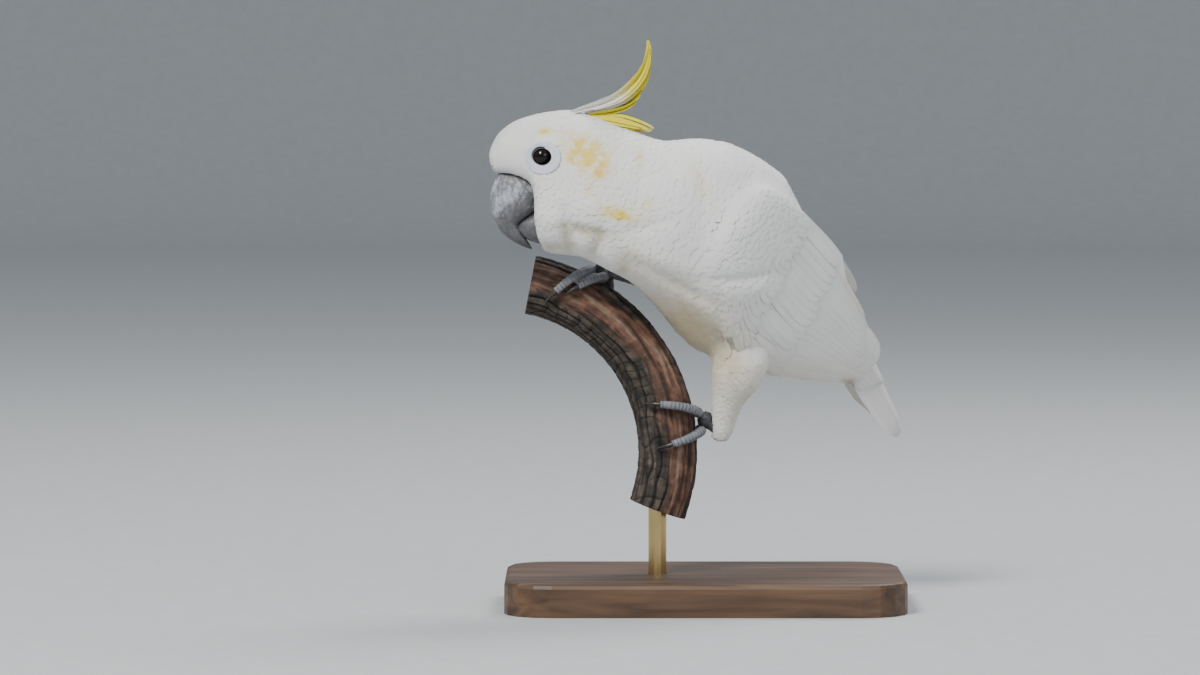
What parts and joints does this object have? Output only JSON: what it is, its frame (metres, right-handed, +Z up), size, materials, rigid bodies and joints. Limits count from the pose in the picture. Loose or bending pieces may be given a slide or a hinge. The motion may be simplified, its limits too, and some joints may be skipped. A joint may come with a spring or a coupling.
{
  "type": "lesser sulphur-crested cockatoo on a perch",
  "caption": "Life-size still cockatoo with a raised crest and closed wings, clinging to a cut length of curved bough that a rod holds over a flat base.",
  "frame": {"origin": "centre of the base's underside, on the floor", "axes": "+Z up, the bird's head towards -X, its left side towards -Y, its tail towards +X and +Y"},
  "size_m": [0.2315, 0.1455, 0.312],
  "materials": {
    "plumage": "soft white feathers with a matte bloom",
    "crest": "soft yellow feathers",
    "bill": "dark grey horn, powdery",
    "eye": "wet, glossy, almost black",
    "foot": "dry scaly grey skin",
    "claw": "dark horn",
    "bark": "rough dark bark, cut ends bare",
    "base": "dark stained, satin varnish",
    "rod": "satin"
  },
  "bodies": {
    "root": {"head": "plumage", "neck": "plumage", "trunk": "plumage", "tail": "plumage", "thigh_left": "plumage", "thigh_right": "plumage", "wing_left_coverts": "plumage", "wing_left_secondaries": "plumage", "wing_left_primaries": "plumage", "wing_right_coverts": "plumage", "wing_right_secondaries": "plumage", "wing_right_primaries": "plumage", "crest_1": "crest", "crest_2": "crest", "crest_3": "crest", "crest_4": "crest", "crest_5": "crest", "crest_6": "crest", "crest_7": "crest", "bill_upper": "bill", "bill_lower": "bill", "eye_left": "eye", "eye_right": "eye", "foot_left": "foot", "toe_1_left": "foot", "claw_1_left": "claw", "toe_2_left": "foot", "claw_2_left": "claw", "toe_3_left": "foot", "claw_3_left": "claw", "toe_4_left": "foot", "claw_4_left": "claw", "foot_right": "foot", "toe_1_right": "foot", "claw_1_right": "claw", "toe_2_right": "foot", "claw_2_right": "claw", "toe_3_right": "foot", "claw_3_right": "claw", "toe_4_right": "foot", "claw_4_right": "claw", "perch_bough": "bark", "stand_base": "base", "stand_rod": "rod"}
  },
  "joints": []
}
